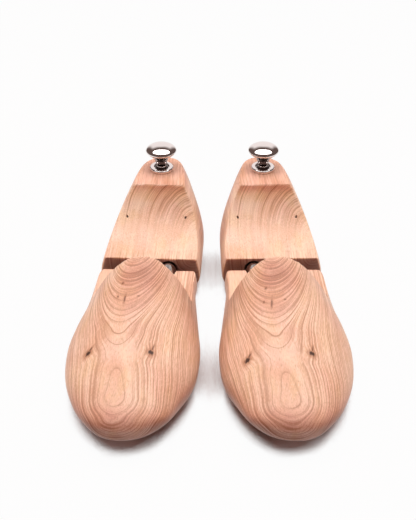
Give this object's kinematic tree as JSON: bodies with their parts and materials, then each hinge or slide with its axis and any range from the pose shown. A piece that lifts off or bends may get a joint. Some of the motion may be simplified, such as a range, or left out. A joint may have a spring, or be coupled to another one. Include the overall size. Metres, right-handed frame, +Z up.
{
  "type": "pair of spring shoe trees",
  "caption": "Pair of wooden shoe trees with sprung twin-tube heel blocks, hollowed heels and turned metal pull knobs.",
  "frame": {"origin": "middle of the floor under the pair", "axes": "+Z up; the toes point to -Y; the tree for the left foot stands at -X, seen from the toes"},
  "size_m": [0.1884, 0.2714, 0.0901],
  "materials": {
    "turned_wood": "sanded smooth, lightly waxed",
    "plug_wood": "plain dowel",
    "tube_steel": "bright drawn tube",
    "spring_steel": "oiled wire",
    "dark_steel": "blackened",
    "polished_nickel": "mirror polish"
  },
  "bodies": {
    "left_forepart_body": {"left_forepart": "turned_wood", "left_medial_guide_rod": "dark_steel", "left_lateral_guide_rod": "dark_steel", "left_medial_spring": "spring_steel", "left_lateral_spring": "spring_steel"},
    "left_heel_body": {"left_heel_block": "turned_wood", "left_medial_tube": "tube_steel", "left_lateral_tube": "tube_steel", "left_medial_tube_plug": "plug_wood", "left_lateral_tube_plug": "plug_wood", "left_medial_brad": "dark_steel", "left_lateral_brad": "dark_steel", "left_knob_rosette": "polished_nickel", "left_knob": "polished_nickel", "left_knob_stud": "dark_steel"},
    "right_forepart_body": {"right_forepart": "turned_wood", "right_medial_guide_rod": "dark_steel", "right_lateral_guide_rod": "dark_steel", "right_medial_spring": "spring_steel", "right_lateral_spring": "spring_steel"},
    "right_heel_body": {"right_heel_block": "turned_wood", "right_medial_tube": "tube_steel", "right_lateral_tube": "tube_steel", "right_medial_tube_plug": "plug_wood", "right_lateral_tube_plug": "plug_wood", "right_medial_brad": "dark_steel", "right_lateral_brad": "dark_steel", "right_knob_rosette": "polished_nickel", "right_knob": "polished_nickel", "right_knob_stud": "dark_steel"}
  },
  "joints": [
    {"name": "left_heel_slide", "type": "slide", "parent": "left_forepart_body", "child": "left_heel_body", "axis": [-0.0454, -0.999, 0], "range_m": [0, 0.0062], "stiffness_N_per_m": 3000, "springref_m": -0.01, "deforming": ["left_medial_spring", "left_lateral_spring"]},
    {"name": "right_heel_slide", "type": "slide", "parent": "right_forepart_body", "child": "right_heel_body", "axis": [0.0174, -0.9998, 0], "range_m": [0, 0.0062], "stiffness_N_per_m": 3000, "springref_m": -0.01, "deforming": ["right_medial_spring", "right_lateral_spring"]},
    {"name": "right_tree_stand", "type": "slide", "parent": "left_forepart_body", "child": "right_forepart_body", "axis": [1, 0, 0], "range_m": [0, 0.12]}
  ]
}
